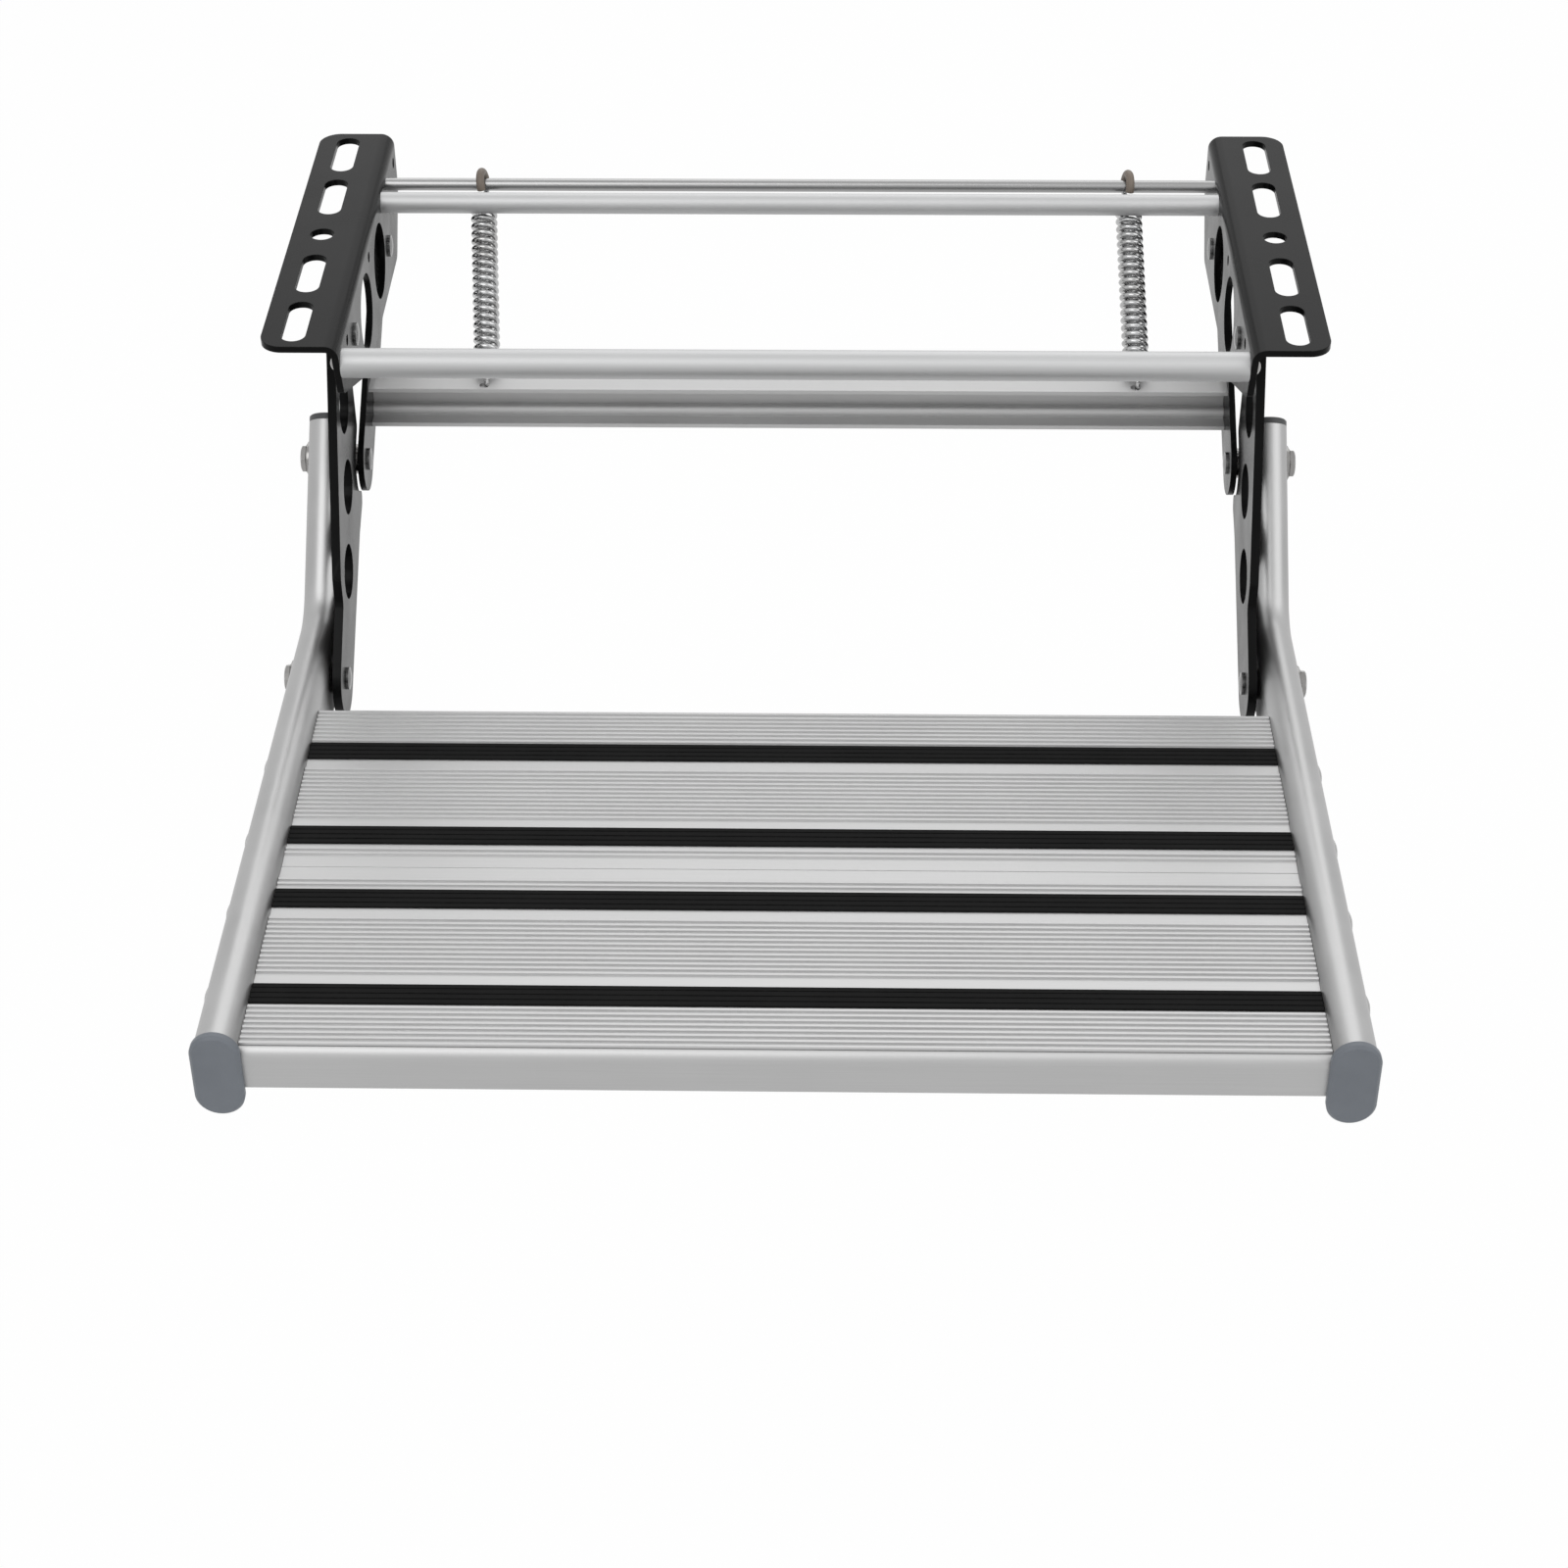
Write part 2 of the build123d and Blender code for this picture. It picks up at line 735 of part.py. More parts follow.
def tread_insert(front, w):
    """Rubber grip strip in a plank's groove, with fine grooves along its top."""
    strip = make_face(Polyline(*insert_outline(w, insert_fit, insert_proud), close=True))
    top = insert_proud - rib_height
    spacing = insert_width / (insert_groove_count + 1)
    for i in range(insert_groove_count):
        middle = w + (i + 1) * spacing
        strip -= Pos(middle, top) * Rectangle(2 * insert_groove, 2 * insert_groove)
    return tread_frame * extrude(plank_plane(front) * strip, 2 * tube_in)


def plank_screw(centre):
    """Low round-headed screw from the tube's outer face into a plank's port."""
    head = disc(centre, plank_screw_head_d, tube_out, tube_out + plank_screw_head_t)
    head = chamfer(head.edges().group_by(Axis.X)[-1], plank_screw_bevel)
    socket = Pos(*centre) * RegularPolygon(plank_screw_socket / 2, 6, major_radius=False)
    top = tube_out + plank_screw_head_t
    head -= plate(socket, top - plank_screw_socket_depth, top + cut_past)
    shank = disc(centre, plank_screw_d, tube_in - plank_screw_grip, tube_out + join)
    return tread_frame * (head + shank)


def bolt_end(centre):
    """Hexagon head with a washer face, outside the tube's washer."""
    seat = tube_out + bolt_washer_t
    hexagon = Pos(*centre) * RegularPolygon(bolt_head_d / 2, 6, major_radius=False)
    head = plate(hexagon, seat, seat + bolt_head_t)
    crown = disc(centre, bolt_crown_d, seat, seat + bolt_head_t)
    crown = chamfer(crown.edges().group_by(Axis.X)[-1], bolt_crown_bevel)
    return head & crown


def front_pivot_bolt():
    """Bolt through the tube and the front arm, riveted over on the arm's inner face."""
    shank = disc(front_pivot_tread, bolt_d, front_arm_in - join, tube_out + bolt_washer_t + join)
    seat = front_arm_in - pivot_fit
    rivet = disc(front_pivot_tread, pin_head_d, seat - pin_head_t, seat)
    rivet = chamfer(rivet.edges().group_by(Axis.X)[0], pin_head_bevel)
    return tread_frame * (bolt_end(front_pivot_tread) + shank + rivet)


def rear_pivot_bolt():
    """Bolt through the tube and its spacer, ending just short of the rear arm."""
    shank = disc(rear_pivot_tread, bolt_d, front_arm_in, tube_out + bolt_washer_t + join)
    return tread_frame * (bolt_end(rear_pivot_tread) + shank)


def pivot_washer(centre):
    washer = disc(centre, bolt_washer_d, tube_out, tube_out + bolt_washer_t)
    hole_d = bolt_d + 2 * screw_fit
    hole = disc(centre, hole_d, tube_out - cut_past, tube_out + bolt_washer_t + cut_past)
    return tread_frame * (washer - hole)


def spacer(centre, x_from):
    """Sleeve on a pivot bolt, against the tube's inner face."""
    sleeve = disc(centre, spacer_d, x_from, tube_in)
    hole = disc(centre, bolt_d + 2 * screw_fit, x_from - cut_past, tube_in + cut_past)
    return tread_frame * (sleeve - hole)


save_pair("bracket", bracket())
save("front_cross_bar", cross_bar(front_bar_y, front_bar_z, front_bar_d))
save("rear_cross_bar", cross_bar(rear_bar_y, rear_bar_z, rear_bar_d))
save_both("cross_bar_screws", bar_screw(front_bar_y, front_bar_z), bar_screw(rear_bar_y, rear_bar_z))
save("spring_rod", spring_rod())
save_both("front_arm_pins", arm_pin(front_top, front_arm_out, front_pin_outer_d))
save_both("rear_arm_pins", arm_pin(rear_top, rear_arm_out, pin_head_d))
save_both("front_arm_washers", front_pin_washer())

save_pair("front_arm", front_arm())

save_pair("rear_arm", rear_arm())
save_both("rear_arm_studs", rear_arm_pin())
save("spring_channel", spring_channel())
save_both("channel_screws", *[channel_screw(centre) for centre in channel_points()])

save("spring_left", spring(spring_left_x))
save("spring_right", spring(spring_right_x))
save("spring_hook_sleeves", hook_sleeve(spring_left_x), hook_sleeve(spring_right_x))

save_pair("side_tube", side_tube())
save_pair("front_cap", front_cap())
save_pair("top_cap", top_cap())
save("tread_plank_front", plank(True))
save("tread_plank_rear", plank(False))
save("grip_strip_1", tread_insert(True, outer_insert_from))
save("grip_strip_2", tread_insert(True, inner_insert_from))
save("grip_strip_3", tread_insert(False, inner_insert_from))
save("grip_strip_4", tread_insert(False, outer_insert_from))
save_both("plank_screws", *[plank_screw(centre) for centre in screw_points()])
save_both("front_pivot_bolts", front_pivot_bolt())
save_both("rear_pivot_bolts", rear_pivot_bolt())
save_both("pivot_washers", pivot_washer(front_pivot_tread), pivot_washer(rear_pivot_tread))
save_both("front_pivot_spacers", spacer(front_pivot_tread, front_arm_out + pivot_fit))
save_both("rear_pivot_spacers", spacer(rear_pivot_tread, front_arm_in))
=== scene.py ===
import json
import math
import bmesh
import bpy
from mathutils import Matrix, Vector


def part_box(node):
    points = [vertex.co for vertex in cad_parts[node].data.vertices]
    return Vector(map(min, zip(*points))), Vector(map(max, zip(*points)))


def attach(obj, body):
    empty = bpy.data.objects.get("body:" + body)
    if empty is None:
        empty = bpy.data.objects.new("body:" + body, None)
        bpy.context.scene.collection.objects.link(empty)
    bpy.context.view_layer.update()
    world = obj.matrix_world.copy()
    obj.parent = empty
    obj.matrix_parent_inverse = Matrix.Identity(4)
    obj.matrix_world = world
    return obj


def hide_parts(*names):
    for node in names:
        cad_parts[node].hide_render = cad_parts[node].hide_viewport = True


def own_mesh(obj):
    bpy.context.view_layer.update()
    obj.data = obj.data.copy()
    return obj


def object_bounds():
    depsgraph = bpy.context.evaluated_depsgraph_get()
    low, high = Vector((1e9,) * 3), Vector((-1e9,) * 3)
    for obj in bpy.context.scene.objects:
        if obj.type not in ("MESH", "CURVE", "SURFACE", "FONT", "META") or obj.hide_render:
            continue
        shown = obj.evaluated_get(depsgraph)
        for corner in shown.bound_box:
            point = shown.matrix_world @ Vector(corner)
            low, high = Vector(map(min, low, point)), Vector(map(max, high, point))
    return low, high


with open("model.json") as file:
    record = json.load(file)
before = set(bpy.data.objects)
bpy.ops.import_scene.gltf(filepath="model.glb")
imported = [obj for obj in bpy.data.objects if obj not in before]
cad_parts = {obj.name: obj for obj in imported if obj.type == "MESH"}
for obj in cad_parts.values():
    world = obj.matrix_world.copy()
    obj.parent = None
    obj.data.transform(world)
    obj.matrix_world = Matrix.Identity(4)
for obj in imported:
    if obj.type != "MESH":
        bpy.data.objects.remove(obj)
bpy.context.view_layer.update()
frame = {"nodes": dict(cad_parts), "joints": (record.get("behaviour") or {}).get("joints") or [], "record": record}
print("frame loaded:", len(frame["nodes"]), "nodes")

bpy.context.scene.view_settings.view_transform = "Standard"
bodyOf = {node: body for body, nodes in frame["record"]["behaviour"]["bodies"].items() for node in nodes}
slotOf = {part["node"]: part["material_slot"] for part in frame["record"]["subparts"]}


# camera, at the photographed angle

cameraLook = {
    "place": (0.0194, -1.2892, 0.67335),
    "turn": 1.208,  # degrees to the left of straight in
    "dip": 37.63,  # degrees below level
    "roll": -0.36,
    "lens": 70.96,
}


def placeCamera(look):
    data = bpy.data.cameras.new("camera")
    data.lens = look["lens"]
    camera = bpy.data.objects.new("camera", data)
    bpy.context.scene.collection.objects.link(camera)
    turn = Matrix.Rotation(math.radians(look["turn"]), 4, "Z")
    dip = Matrix.Rotation(math.radians(90 - look["dip"]), 4, "X")
    roll = Matrix.Rotation(math.radians(look["roll"]), 4, "Z")
    camera.matrix_world = Matrix.Translation(look["place"]) @ turn @ dip @ roll
    bpy.context.scene.camera = camera


placeCamera(cameraLook)
print("camera placed")


# node helpers

def setInputs(node, values):
    for key, value in values.items():
        node.inputs[key].default_value = value


def addNode(tree, kind, values=None, **settings):
    node = tree.nodes.new(kind)
    for key, value in settings.items():
        setattr(node, key, value)
    setInputs(node, values or {})
    return node


def feed(tree, value, socket):
    # a plain number or colour is set on the socket, anything else is linked to it
    if isinstance(value, bpy.types.NodeSocket):
        tree.links.new(value, socket)
    else:
        socket.default_value = value


def mathNode(tree, operation, *values, clamp=False):
    node = addNode(tree, "ShaderNodeMath", operation=operation, use_clamp=clamp)
    for index, value in enumerate(values):
        feed(tree, value, node.inputs[index])
    return node.outputs[0]


def rangeNode(tree, value, low, high, toLow=0.0, toHigh=1.0):
    node = addNode(tree, "ShaderNodeMapRange")
    bounds = {"Value": value, "From Min": low, "From Max": high, "To Min": toLow, "To Max": toHigh}
    for key, bound in bounds.items():
        feed(tree, bound, node.inputs[key])
    return node.outputs["Result"]


def mixNode(tree, kind, share, first, second):
    # kind is RGBA or VECTOR, and the last two inputs of that type are the ones mixed
    node = addNode(tree, "ShaderNodeMix", data_type=kind)
    feed(tree, share, node.inputs["Factor"])
    mixed = [socket for socket in node.inputs if socket.type == kind][-2:]
    feed(tree, first, mixed[0])
    feed(tree, second, mixed[1])
    return next(socket for socket in node.outputs if socket.type == kind)


def makeGroup(name, inputs, outputs):
    group = bpy.data.node_groups.new(name, "ShaderNodeTree")
    for socketName, start in inputs.items():
        socket = group.interface.new_socket(socketName, in_out="INPUT", socket_type="NodeSocketFloat")
        socket.default_value = start
    for socketName, kind in outputs.items():
        group.interface.new_socket(socketName, in_out="OUTPUT", socket_type=kind)
    return group, group.nodes.new("NodeGroupInput").outputs, group.nodes.new("NodeGroupOutput").inputs


def noiseNode(tree, place, scale, detail, roughness):
    node = addNode(tree, "ShaderNodeTexNoise", {"Detail": detail, "Roughness": roughness})
    feed(tree, place, node.inputs["Vector"])
    feed(tree, scale, node.inputs["Scale"])
    return node.outputs["Fac"]


# shared effects, each a group placed in several materials

grainShape = {"fineShare": 0.3, "toneFrom": 0.48, "toneTo": 0.82}


def buildGrainGroup():
    # fine pits of a blasted, cast or moulded skin over a slow change of tone
    group, given, made = makeGroup(
        "fineGrain",
        {"Grain per metre": 2500.0, "Patches per metre": 25.0},
        {"Height": "NodeSocketFloat", "Tone": "NodeSocketFloat"},
    )
    place = addNode(group, "ShaderNodeTexCoord").outputs["Object"]
    fine = noiseNode(group, place, given["Grain per metre"], detail=3.0, roughness=0.6)
    slow = noiseNode(group, place, given["Patches per metre"], detail=3.0, roughness=0.55)
    feed(group, fine, made["Height"])
    mixed = mathNode(group, "MULTIPLY_ADD", fine, grainShape["fineShare"], slow)
    tone = rangeNode(group, mixed, grainShape["toneFrom"], grainShape["toneTo"])
    feed(group, tone, made["Tone"])
    return group


drawnShape = {"slowShare": 0.5, "toneFrom": 0.5, "toneTo": 1.0}


def buildDrawnGroup():
    # hairlines along X, as a die leaves on an extrusion or a drawn bar
    group, given, made = makeGroup(
        "drawnLines",
        {"Lines per metre": 1800.0, "Along share": 0.01, "Patches per metre": 18.0},
        {"Height": "NodeSocketFloat", "Tone": "NodeSocketFloat"},
    )
    place = addNode(group, "ShaderNodeTexCoord").outputs["Object"]
    split = addNode(group, "ShaderNodeSeparateXYZ")
    join = addNode(group, "ShaderNodeCombineXYZ")
    feed(group, place, split.inputs["Vector"])
    along = mathNode(group, "MULTIPLY", split.outputs["X"], given["Along share"])
    feed(group, along, join.inputs["X"])
    feed(group, split.outputs["Y"], join.inputs["Y"])
    feed(group, split.outputs["Z"], join.inputs["Z"])
    lines = noiseNode(group, join.outputs["Vector"], given["Lines per metre"], detail=4.0, roughness=0.65)
    slow = noiseNode(group, place, given["Patches per metre"], detail=2.0, roughness=0.5)
    feed(group, lines, made["Height"])
    mixed = mathNode(group, "MULTIPLY_ADD", slow, drawnShape["slowShare"], lines)
    tone = rangeNode(group, mixed, drawnShape["toneFrom"], drawnShape["toneTo"])
    feed(group, tone, made["Tone"])
    return group


edgeShape = {
    "samples": 4,
    "flatCosine": 0.99,  # between the surface and its rounded normal, where wear starts
    "edgeCosine": 0.85,  # and where it is full
    "brokenFrom": 0.38,
    "brokenTo": 0.62,
}


def buildEdgeGroup():
    # mask of the sharp edges, broken up so that it doesn't read as a drawn outline
    group, given, made = makeGroup(
        "edgeWear",
        {"Width": 0.0006, "Breakup per metre": 300.0, "Amount": 1.0},
        {"Mask": "NodeSocketFloat", "Soft Normal": "NodeSocketVector"},
    )
    bevel = addNode(group, "ShaderNodeBevel", samples=edgeShape["samples"])
    feed(group, given["Width"], bevel.inputs["Radius"])
    surface = addNode(group, "ShaderNodeNewGeometry")
    turned = addNode(group, "ShaderNodeVectorMath", operation="DOT_PRODUCT")
    feed(group, bevel.outputs["Normal"], turned.inputs[0])
    feed(group, surface.outputs["Normal"], turned.inputs[1])
    edge = rangeNode(group, turned.outputs["Value"], edgeShape["flatCosine"], edgeShape["edgeCosine"])
    place = addNode(group, "ShaderNodeTexCoord").outputs["Object"]
    breakup = noiseNode(group, place, given["Breakup per metre"], detail=3.0, roughness=0.5)
    gaps = rangeNode(group, breakup, edgeShape["brokenFrom"], edgeShape["brokenTo"])
    broken = mathNode(group, "MULTIPLY", edge, gaps)
    feed(group, mathNode(group, "MULTIPLY", broken, given["Amount"], clamp=True), made["Mask"])
    feed(group, bevel.outputs["Normal"], made["Soft Normal"])
    return group


scuffShape = {
    "warpScale": 14.0,
    "warpShare": 0.06,
    "lineWidth": 0.012,
    "patchScale": 30.0,
    "patchFrom": 0.55,
    "patchTo": 0.7,
}


def buildScuffGroup():
    # a few fine scratches and rubbed patches
    group, given, made = makeGroup(
        "fineScuffs",
        {"Scratches per metre": 60.0, "Amount": 0.5},
        {"Mask": "NodeSocketFloat"},
    )
    place = addNode(group, "ShaderNodeTexCoord").outputs["Object"]
    warp = addNode(group, "ShaderNodeTexNoise", {"Scale": scuffShape["warpScale"], "Detail": 1.0})
    feed(group, place, warp.inputs["Vector"])
    bent = mixNode(group, "VECTOR", scuffShape["warpShare"], place, warp.outputs["Color"])
    cracks = addNode(group, "ShaderNodeTexVoronoi", feature="DISTANCE_TO_EDGE")
    feed(group, bent, cracks.inputs["Vector"])
    feed(group, given["Scratches per metre"], cracks.inputs["Scale"])
    lines = rangeNode(group, cracks.outputs["Distance"], scuffShape["lineWidth"], 0.0)
    where = noiseNode(group, place, scuffShape["patchScale"], detail=2.0, roughness=0.5)
    patches = rangeNode(group, where, scuffShape["patchFrom"], scuffShape["patchTo"])
    kept = mathNode(group, "MULTIPLY", lines, patches)
    feed(group, mathNode(group, "MULTIPLY", kept, given["Amount"], clamp=True), made["Mask"])
    return group


grainGroup = buildGrainGroup()
drawnGroup = buildDrawnGroup()
edgeGroup = buildEdgeGroup()
scuffGroup = buildScuffGroup()
print("shader groups built")


# finishes, one for each material slot of the record

scuffRoughness = 0.15  # added where a surface is scuffed


def placeGroup(tree, group, values):
    node = addNode(tree, "ShaderNodeGroup", node_tree=group)
    setInputs(node, values)
    return node.outputs


def makeFinish(name, look):
    material = bpy.data.materials.new(name)
    material.use_nodes = True
    tree = material.node_tree
    shader = tree.nodes["Principled BSDF"]
    setInputs(shader, look["shader"])
    skin = placeGroup(tree, look["skin"], look["skinValues"])
    edges = placeGroup(tree, edgeGroup, look["edges"])
    scuffs = placeGroup(tree, scuffGroup, look["scuffs"])
    colour = mixNode(tree, "RGBA", skin["Tone"], look["dark"], look["light"])
    colour = mixNode(tree, "RGBA", scuffs["Mask"], colour, look["rubbed"])
    colour = mixNode(tree, "RGBA", edges["Mask"], colour, look["rubbed"])
    feed(tree, colour, shader.inputs["Base Color"])
    rough = rangeNode(tree, skin["Tone"], 0.0, 1.0, look["smoothest"], look["roughest"])
    rough = mathNode(tree, "MULTIPLY_ADD", scuffs["Mask"], scuffRoughness, rough)
    feed(tree, rough, shader.inputs["Roughness"])
    bumpValues = {"Strength": look["bumpStrength"], "Distance": look["bumpDepth"]}
    bump = addNode(tree, "ShaderNodeBump", bumpValues)
    feed(tree, skin["Height"], bump.inputs["Height"])
    feed(tree, edges["Soft Normal"], bump.inputs["Normal"])
    feed(tree, bump.outputs["Normal"], shader.inputs["Normal"])
    return material


def grey(value, warm=0.0):
    # linear grey, a little warmer or colder
    return (value * (1 + warm), value, value * (1 - warm), 1.0)


blackPaintLook = {
    "shader": {"Metallic": 0.0, "IOR": 1.16},
    "skin": grainGroup,
    "skinValues": {"Grain per metre": 1400.0, "Patches per metre": 30.0},
    "dark": grey(0.003, -0.02),
    "light": grey(0.006, -0.02),
    "rubbed": grey(0.07),
    "smoothest": 0.20,
    "roughest": 0.28,
    "bumpStrength": 0.12,
    "bumpDepth": 0.00008,
    "edges": {"Width": 0.0005, "Breakup per metre": 350.0, "Amount": 0.22},
    "scuffs": {"Scratches per metre": 45.0, "Amount": 0.12},
}
tubeLook = {
    "shader": {"Metallic": 1.0},
    "skin": grainGroup,
    "skinValues": {"Grain per metre": 3200.0, "Patches per metre": 22.0},
    "dark": grey(0.39, 0.0),
    "light": grey(0.44, 0.0),
    "rubbed": grey(0.54),
    "smoothest": 0.36,
    "roughest": 0.44,
    "bumpStrength": 0.12,
    "bumpDepth": 0.00004,
    "edges": {"Width": 0.0004, "Breakup per metre": 400.0, "Amount": 0.5},
    "scuffs": {"Scratches per metre": 40.0, "Amount": 0.18},
}
plankLook = {
    "shader": {"Metallic": 1.0},
    "skin": drawnGroup,
    "skinValues": {"Lines per metre": 2400.0, "Along share": 0.008, "Patches per metre": 20.0},
    "dark": grey(0.45, 0.0),
    "light": grey(0.50, 0.0),
    "rubbed": grey(0.58),
    "smoothest": 0.42,
    "roughest": 0.50,
    "bumpStrength": 0.08,
    "bumpDepth": 0.00003,
    "edges": {"Width": 0.00025, "Breakup per metre": 500.0, "Amount": 0.5},
    "scuffs": {"Scratches per metre": 50.0, "Amount": 0.2},
}
barLook = {
    "shader": {"Metallic": 1.0},
    "skin": drawnGroup,
    "skinValues": {"Lines per metre": 2600.0, "Along share": 0.006, "Patches per metre": 16.0},
    "dark": grey(0.46, -0.005),
    "light": grey(0.52, -0.005),
    "rubbed": grey(0.60),
    "smoothest": 0.48,
    "roughest": 0.58,
    "bumpStrength": 0.12,
    "bumpDepth": 0.00003,
    "edges": {"Width": 0.0003, "Breakup per metre": 500.0, "Amount": 0.4},
    "scuffs": {"Scratches per metre": 40.0, "Amount": 0.2},
}
channelLook = {
    **barLook,
    "dark": grey(0.53, 0.0),
    "light": grey(0.59, 0.0),
    "smoothest": 0.58,
    "roughest": 0.68,
}
rodLook = {**barLook, "dark": grey(0.30), "light": grey(0.37), "smoothest": 0.2, "roughest": 0.32}
springLook = {
    "shader": {"Metallic": 1.0},
    "skin": grainGroup,
    "skinValues": {"Grain per metre": 3000.0, "Patches per metre": 60.0},
    "dark": grey(0.38, 0.01),
    "light": grey(0.52, -0.01),
    "rubbed": grey(0.62),
    "smoothest": 0.12,
    "roughest": 0.24,
    "bumpStrength": 0.12,
    "bumpDepth": 0.00003,
    "edges": {"Width": 0.0002, "Breakup per metre": 500.0, "Amount": 0.2},
    "scuffs": {"Scratches per metre": 60.0, "Amount": 0.15},
}
# pins: plated steel with its grey held far darker than plating, as painted shade that stands in for dark
# reflections in the heads
pinShadedLook = {**springLook, "dark": grey(0.12), "light": grey(0.2), "smoothest": 0.2, "roughest": 0.3}
stainlessLook = {**springLook, "dark": grey(0.22, 0.02), "light": grey(0.32, 0.02)}
rubberLook = {
    "shader": {"Metallic": 0.0, "IOR": 1.15},
    "skin": grainGroup,
    "skinValues": {"Grain per metre": 4200.0, "Patches per metre": 40.0},
    "dark": grey(0.008),
    "light": grey(0.013),
    "rubbed": grey(0.03),
    "smoothest": 0.66,
    "roughest": 0.8,
    "bumpStrength": 0.5,
    "bumpDepth": 0.00008,
    "edges": {"Width": 0.0003, "Breakup per metre": 500.0, "Amount": 0.5},
    "scuffs": {"Scratches per metre": 60.0, "Amount": 0.1},
}
capLook = {
    "shader": {"Metallic": 0.0, "IOR": 1.46},
    "skin": grainGroup,
    "skinValues": {"Grain per metre": 3600.0, "Patches per metre": 35.0},
    "dark": (0.145, 0.160, 0.182, 1.0),
    "light": (0.175, 0.192, 0.216, 1.0),
    "rubbed": (0.30, 0.32, 0.34, 1.0),
    "smoothest": 0.42,
    "roughest": 0.55,
    "bumpStrength": 0.35,
    "bumpDepth": 0.00006,
    "edges": {"Width": 0.0005, "Breakup per metre": 300.0, "Amount": 0.35},
    "scuffs": {"Scratches per metre": 50.0, "Amount": 0.1},
}
topCapLook = {**capLook, "dark": grey(0.055, -0.03), "light": grey(0.075, -0.03), "rubbed": grey(0.14)}
sleeveLook = {
    **capLook,
    "dark": (0.13, 0.105, 0.085, 1.0),
    "light": (0.20, 0.165, 0.135, 1.0),
    "rubbed": (0.30, 0.26, 0.22, 1.0),
}
washerLook = {**rubberLook, "smoothest": 0.4, "roughest": 0.5}

finishes = {
    "black_paint": makeFinish("semiGlossBlackPaint", blackPaintLook),
    "tube_aluminium": makeFinish("satinTubeAluminium", tubeLook),
    "plank_aluminium": makeFinish("extrudedPlankAluminium", plankLook),
    "bar_aluminium": makeFinish("drawnBarAluminium", barLook),
    "channel_aluminium": makeFinish("channelAluminium", channelLook),
    "bright_steel": makeFinish("brightRodSteel", rodLook),
    "zinc_spring": makeFinish("zincSpringWire", springLook),
    "pin_steel": makeFinish("pinSteelPaintedShade", pinShadedLook),
    "stainless": makeFinish("stainlessFastener", stainlessLook),
    "grip_rubber": makeFinish("gripRubber", rubberLook),
    "cap_plastic": makeFinish("greyCapPlastic", capLook),
    "top_cap_plastic": makeFinish("darkCapPlastic", topCapLook),
    "sleeve_plastic": makeFinish("hookSleevePlastic", sleeveLook),
    "washer_plastic": makeFinish("blackWasherPlastic", washerLook),
}


def dress(piece, slotName):
    piece.data.materials.clear()
    piece.data.materials.append(finishes[slotName])


for node, piece in frame["nodes"].items():
    dress(piece, slotOf[node])
print("finishes placed on", len(frame["nodes"]), "nodes")


# mesh helpers

mergeDistance = 0.000001


def middleOf(node):
    low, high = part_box(node)
    return (low + high) / 2


def solidBoxes(node):
    # lowest and highest corner of each separate solid in a node that holds several
    solids = bmesh.new()
    solids.from_mesh(frame["nodes"][node].data)
    bmesh.ops.remove_doubles(solids, verts=solids.verts, dist=mergeDistance)
    waiting = set(solids.verts)
    boxes = []
    while waiting:
        front = [waiting.pop()]
        found = list(front)
        while front:
            near = {edge.other_vert(vert) for vert in front for edge in vert.link_edges} & waiting
            waiting -= near
            found += near
            front = list(near)
        corners = [[side(vert.co[axis] for vert in found) for axis in range(3)] for side in (min, max)]
        boxes.append((Vector(corners[0]), Vector(corners[1])))
    solids.free()
    return sorted(boxes, key=lambda box: tuple(box[0]))


def addPiece(name, mesh, node):
    # a piece that stands for a CAD node, on the same body and with the same finish
    piece = bpy.data.objects.new(name, mesh)
    bpy.context.scene.collection.objects.link(piece)
    dress(piece, slotOf[node])
    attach(piece, bodyOf[node])
    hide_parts(node)
    return piece


def finishMesh(name, shape, sharpAngle=40):
    bmesh.ops.recalc_face_normals(shape, faces=shape.faces)
    mesh = bpy.data.meshes.new(name)
    shape.to_mesh(mesh)
    shape.free()
    mesh.shade_smooth()
    mesh.set_sharp_from_angle(angle=math.radians(sharpAngle))
    return mesh


def bridge(shape, first, second):
    for i in range(len(first)):
        shape.faces.new((first[i - 1], first[i], second[i], second[i - 1]))


# turned and headed fasteners, along X

turnedCount = 48


def domeRings(radius, height, edge, steps=6):
    # a low dome from its edge up to its top, as (radius, distance) pairs
    ball = (radius ** 2 + (height - edge) ** 2) / (2 * (height - edge))
    reach = math.asin(radius / ball)
    angles = [reach * (1 - i / steps) for i in range(steps)]
    return [(ball * math.sin(a), height - ball * (1 - math.cos(a))) for a in angles] + [(0.0, height)]


def hexRadius(flat, angle):
    # from a hexagon's middle to its edge in one direction, flat being half its width
    return flat / math.cos((angle + math.pi / 6) % (math.pi / 3) - math.pi / 6)


def spinRings(shape, rings, seat, outward):
    # rings from one end of the axis to the other: (radius, distance), or a function of the angle
    last = None
    for ring in rings:
        angles = [2 * math.pi * i / turnedCount for i in range(turnedCount)]
        pairs = [ring(a) if callable(ring) else ring for a in angles]
        if max(radius for radius, distance in pairs) == 0:
            pairs = pairs[:1]
        points = [
            Vector((outward * distance, radius * math.cos(a), radius * math.sin(a)))
            for (radius, distance), a in zip(pairs, angles)
        ]
        verts = [shape.verts.new(seat + point) for point in points]
        if last and len(verts) == 1:
            for i in range(len(last)):
                shape.faces.new((last[i - 1], last[i], verts[0]))
        elif last and len(last) == 1:
            for i in range(len(verts)):
                shape.faces.new((verts[i - 1], verts[i], last[0]))
        elif last:
            bridge(shape, last, verts)
        last = verts


